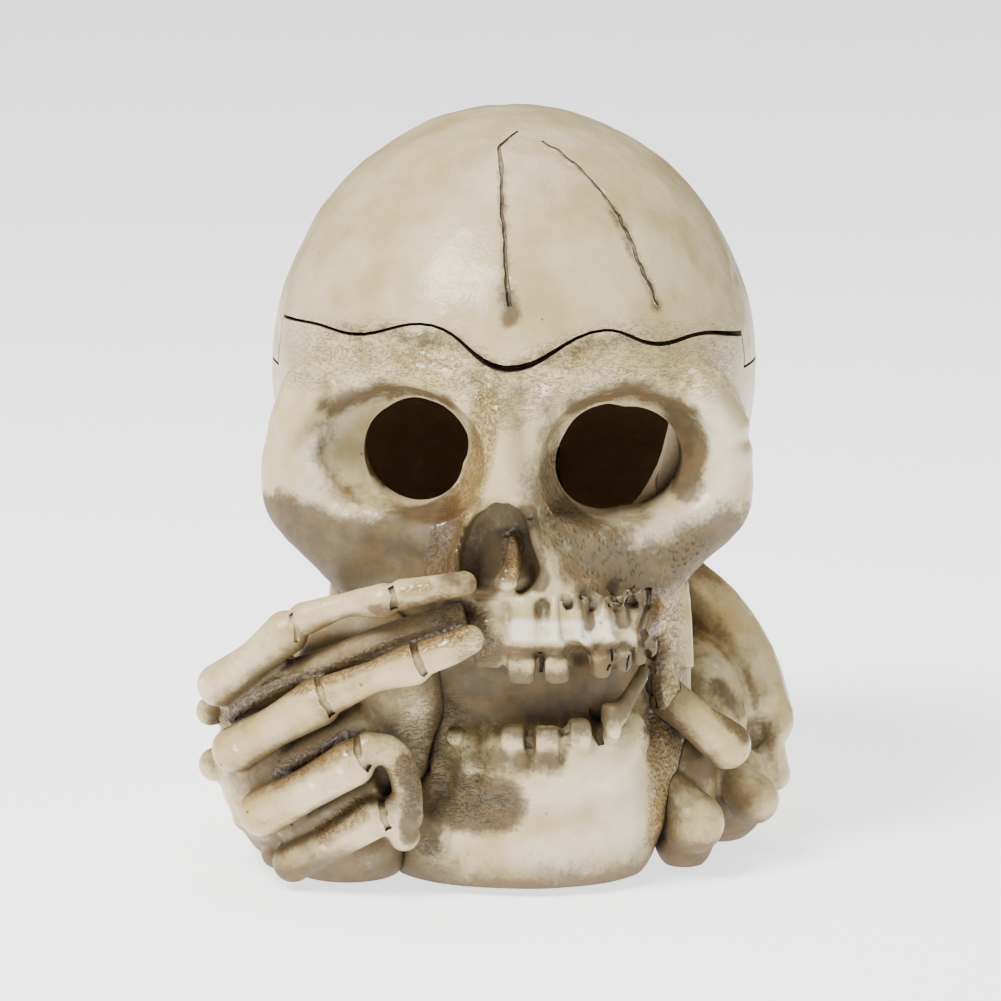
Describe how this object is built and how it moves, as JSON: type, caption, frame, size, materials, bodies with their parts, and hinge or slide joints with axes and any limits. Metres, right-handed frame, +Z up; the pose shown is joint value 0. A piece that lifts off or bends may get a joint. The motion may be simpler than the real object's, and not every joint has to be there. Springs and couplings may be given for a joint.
{
  "type": "bubbling skull aquarium ornament",
  "caption": "Skull-shaped resin aquarium ornament whose hinged cranium is lifted by trapped air from a diffuser inside, with bony hands over its jaw.",
  "frame": {"origin": "centre of the base pad's underside", "axes": "+Z up, the face looks along -Y, +X to the viewer's right of the face"},
  "size_m": [0.1033, 0.121, 0.1304],
  "materials": {
    "bone_resin": "cast resin, aged ivory paint with brown wash in the hollows",
    "stainless": "plain satin",
    "dark_plastic": "moulded, fine grain",
    "black_rubber": "matte",
    "air_stone": "sintered grains"
  },
  "bodies": {
    "skull": {"skull_casting": "bone_resin", "right_hand": "bone_resin", "left_hand": "bone_resin", "hinge_bracket": "stainless", "hinge_pin": "stainless", "bracket_screw_left": "stainless", "bracket_screw_right": "stainless", "clip_screw_left": "stainless", "clip_screw_right": "stainless", "air_inlet": "dark_plastic", "inlet_nut": "dark_plastic", "stone_nipple": "dark_plastic", "stone_clip": "dark_plastic", "pin_cap_left": "dark_plastic", "pin_cap_right": "dark_plastic", "base_pad": "black_rubber", "inlet_seal": "black_rubber", "air_line": "black_rubber", "air_stone": "air_stone"},
    "cap": {"cranium_cap": "bone_resin", "cap_hinge_arm": "stainless", "arm_screw_left": "stainless", "arm_screw_right": "stainless"}
  },
  "joints": [
    {"name": "cap_hinge", "type": "hinge", "parent": "skull", "child": "cap", "pos_m": [0, 0.0566, 0.08625], "axis": [-1, 0, 0], "range_deg": [0, 35]}
  ]
}
